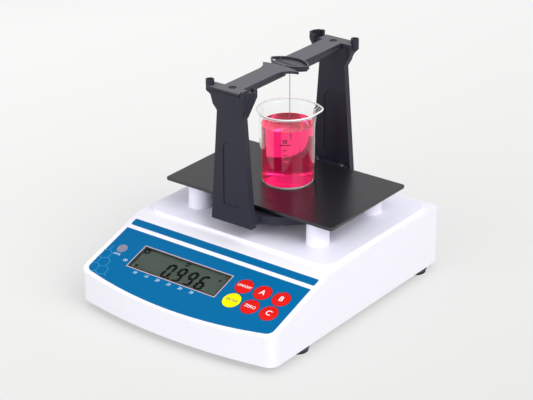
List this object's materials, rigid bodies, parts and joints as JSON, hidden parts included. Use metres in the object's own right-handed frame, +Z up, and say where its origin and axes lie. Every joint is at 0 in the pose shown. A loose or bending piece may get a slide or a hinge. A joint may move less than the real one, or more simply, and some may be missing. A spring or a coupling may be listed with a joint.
{
  "type": "benchtop density meter",
  "caption": "Benchtop density meter: an electronic balance with a sloping keypad and display, a fixed platform on posts, and a weighed frame that hangs a sinker in a beaker.",
  "frame": {"origin": "on the bench, under the middle of the instrument's length and width", "axes": "+Z up, -Y towards the front with the display and keys, +X to the right seen from the front"},
  "size_m": [0.218, 0.268, 0.2135],
  "materials": {
    "housing_abs": "fine moulded ABS, satin",
    "plate_steel": "zinc-plated sheet with grey paint",
    "steel": "bright zinc plate",
    "black_oxide": "black-oxided steel",
    "tray_abs": "moulded ABS, satin",
    "anodised_dark": "dark anodised sheet, satin",
    "coated_dark": "fine-grained powder coat",
    "coated_grey": "fine-grained metallic powder coat",
    "label_blue": "printed polycarbonate film",
    "window_clear": "clear acrylic",
    "bezel": "moulded",
    "lcd": "liquid crystal cell",
    "board": "solder-masked laminate",
    "key_red": "screen-printed film key",
    "key_yellow": "screen-printed film key",
    "film": "polyester film",
    "vial": "clear acrylic",
    "level_white": "moulded",
    "aluminium": "milled",
    "brass": "turned",
    "black_plastic": "moulded",
    "rubber": "moulded",
    "foot_plastic": "moulded with a knurled edge",
    "wire": "drawn stainless wire",
    "sinker_glass": "ground glass",
    "beaker_glass": "clear borosilicate",
    "liquid": "dyed water"
  },
  "bodies": {
    "housing": {"upper_housing": "housing_abs", "bottom_plate": "plate_steel", "housing_screws": "steel", "top_tray": "tray_abs", "platform_posts": "tray_abs", "tray_screws": "steel", "panel_label": "label_blue", "header_strip": "label_blue", "display_window": "window_clear", "display_bezel": "bezel", "display_glass": "lcd", "display_board": "board", "display_screws": "steel", "key_circuit": "film", "key_domes": "steel", "level_window": "window_clear", "level_cup": "level_white", "level_vial": "vial", "load_cell": "aluminium", "cell_base": "aluminium", "cell_bolts": "steel", "main_board": "board", "board_screws": "steel", "dc_inlet": "black_plastic", "data_port": "steel", "foot_nuts": "brass"},
    "platform_body": {"platform": "anodised_dark", "platform_pins": "steel"},
    "beaker_body": {"beaker": "beaker_glass", "sample_liquid": "liquid"},
    "load_frame": {"pan": "coated_dark", "pan_carrier": "aluminium", "front_pillar": "coated_dark", "rear_pillar": "coated_dark", "front_arm": "coated_grey", "rear_arm": "coated_grey", "arm_screws": "black_oxide", "pillar_screws": "steel"},
    "hanger": {"hanger_wire": "wire", "sinker": "sinker_glass"},
    "key_on_off_body": {"key_on_off": "key_red"},
    "key_a_body": {"key_a": "key_red"},
    "key_b_body": {"key_b": "key_red"},
    "key_enter_body": {"key_enter": "key_yellow"},
    "key_zero_body": {"key_zero": "key_red"},
    "key_c_body": {"key_c": "key_red"},
    "foot_pad_1_body": {"foot_pad_1": "rubber"},
    "foot_screw_1_body": {"foot_screw_1": "foot_plastic"},
    "foot_pad_2_body": {"foot_pad_2": "rubber"},
    "foot_screw_2_body": {"foot_screw_2": "foot_plastic"},
    "foot_pad_3_body": {"foot_pad_3": "rubber"},
    "foot_screw_3_body": {"foot_screw_3": "foot_plastic"},
    "foot_pad_4_body": {"foot_pad_4": "rubber"},
    "foot_screw_4_body": {"foot_screw_4": "foot_plastic"}
  },
  "joints": [
    {"name": "platform_lift", "type": "slide", "parent": "housing", "child": "platform_body", "axis": [0, 0, 1], "range_m": [0, 0.008]},
    {"name": "beaker_lift", "type": "slide", "parent": "platform_body", "child": "beaker_body", "axis": [0, 0, 1], "range_m": [0, 0.008]},
    {"name": "pan_sink", "type": "slide", "parent": "housing", "child": "load_frame", "axis": [0, 0, -1], "range_m": [-0.0003, 0.0004], "stiffness_N_per_m": 20000, "springref_m": -0.00022},
    {"name": "hanger_swing", "type": "hinge", "parent": "load_frame", "child": "hanger", "pos_m": [0.001, 0.0465, 0.2051], "axis": [1, 0, 0], "range_deg": [-4, 4], "deforming": ["sample_liquid"]},
    {"name": "key_on_off_press", "type": "slide", "parent": "housing", "child": "key_on_off_body", "axis": [0, 0.314, -0.9494], "range_m": [0, 0.00035], "stiffness_N_per_m": 600, "springref_m": -0.0002},
    {"name": "key_a_press", "type": "slide", "parent": "housing", "child": "key_a_body", "axis": [0, 0.314, -0.9494], "range_m": [0, 0.00035], "stiffness_N_per_m": 600, "springref_m": -0.0002},
    {"name": "key_b_press", "type": "slide", "parent": "housing", "child": "key_b_body", "axis": [0, 0.314, -0.9494], "range_m": [0, 0.00035], "stiffness_N_per_m": 600, "springref_m": -0.0002},
    {"name": "key_enter_press", "type": "slide", "parent": "housing", "child": "key_enter_body", "axis": [0, 0.314, -0.9494], "range_m": [0, 0.00035], "stiffness_N_per_m": 600, "springref_m": -0.0002},
    {"name": "key_zero_press", "type": "slide", "parent": "housing", "child": "key_zero_body", "axis": [0, 0.314, -0.9494], "range_m": [0, 0.00035], "stiffness_N_per_m": 600, "springref_m": -0.0002},
    {"name": "key_c_press", "type": "slide", "parent": "housing", "child": "key_c_body", "axis": [0, 0.314, -0.9494], "range_m": [0, 0.00035], "stiffness_N_per_m": 600, "springref_m": -0.0002},
    {"name": "foot_1_rise", "type": "slide", "parent": "housing", "child": "foot_pad_1_body", "axis": [0, 0, 1], "range_m": [-0.00375, 0]},
    {"name": "foot_1_turn", "type": "hinge", "parent": "foot_pad_1_body", "child": "foot_screw_1_body", "pos_m": [-0.097, -0.072, 0.004], "axis": [0, 0, 1], "range_deg": [-1081, 0]},
    {"name": "foot_2_rise", "type": "slide", "parent": "housing", "child": "foot_pad_2_body", "axis": [0, 0, 1], "range_m": [-0.00375, 0]},
    {"name": "foot_2_turn", "type": "hinge", "parent": "foot_pad_2_body", "child": "foot_screw_2_body", "pos_m": [0.097, -0.072, 0.004], "axis": [0, 0, 1], "range_deg": [-1081, 0]},
    {"name": "foot_3_rise", "type": "slide", "parent": "housing", "child": "foot_pad_3_body", "axis": [0, 0, 1], "range_m": [-0.00375, 0]},
    {"name": "foot_3_turn", "type": "hinge", "parent": "foot_pad_3_body", "child": "foot_screw_3_body", "pos_m": [-0.097, 0.115, 0.004], "axis": [0, 0, 1], "range_deg": [-1081, 0]},
    {"name": "foot_4_rise", "type": "slide", "parent": "housing", "child": "foot_pad_4_body", "axis": [0, 0, 1], "range_m": [-0.00375, 0]},
    {"name": "foot_4_turn", "type": "hinge", "parent": "foot_pad_4_body", "child": "foot_screw_4_body", "pos_m": [0.097, 0.115, 0.004], "axis": [0, 0, 1], "range_deg": [-1081, 0]}
  ],
  "couplings": [
    {"joint": "foot_1_turn", "follows": "foot_1_rise", "rad_per_m": 5026.5},
    {"joint": "foot_2_turn", "follows": "foot_2_rise", "rad_per_m": 5026.5},
    {"joint": "foot_3_turn", "follows": "foot_3_rise", "rad_per_m": 5026.5},
    {"joint": "foot_4_turn", "follows": "foot_4_rise", "rad_per_m": 5026.5}
  ]
}
